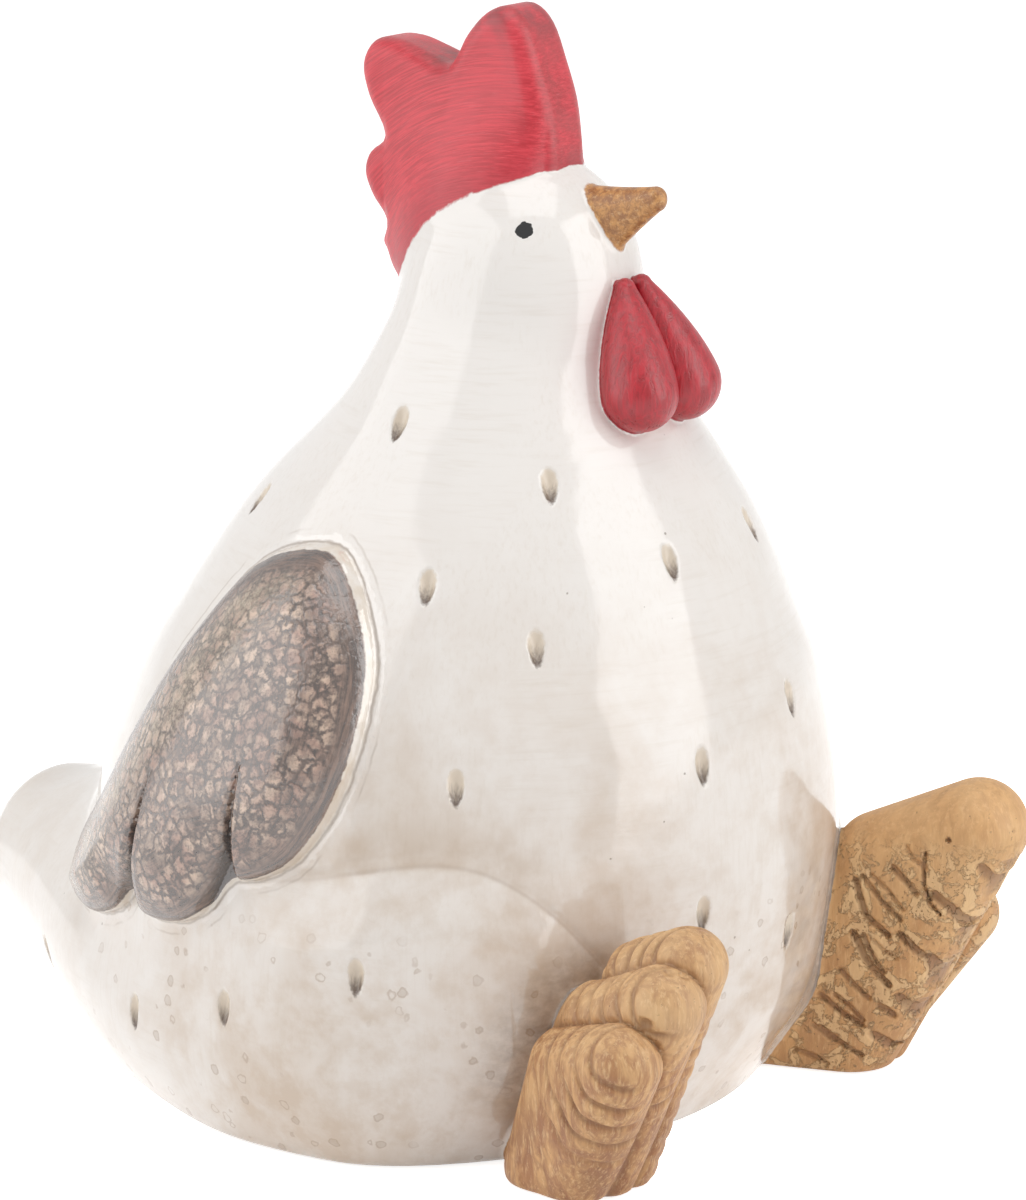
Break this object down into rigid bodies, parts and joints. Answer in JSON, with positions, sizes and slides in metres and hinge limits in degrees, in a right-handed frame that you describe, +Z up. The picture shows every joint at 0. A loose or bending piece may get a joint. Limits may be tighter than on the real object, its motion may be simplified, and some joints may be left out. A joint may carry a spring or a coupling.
{
  "type": "hen figurine",
  "caption": "Sitting hen figurine in glazed ceramic, a hollow one-piece casting with a tall comb, folded wings and its feet stretched out in front.",
  "frame": {"origin": "on the plane that the hen sits on, in its middle plane and under the middle of its body", "axes": "+Z up, -Y the way the hen faces, -X its right side"},
  "size_m": [0.1918, 0.2784, 0.2717],
  "materials": {
    "hen": "gloss off-white glaze with painted red comb and wattles, ochre beak and feet and dark brown wings"
  },
  "bodies": {
    "root": {"hen": "hen"}
  },
  "joints": []
}
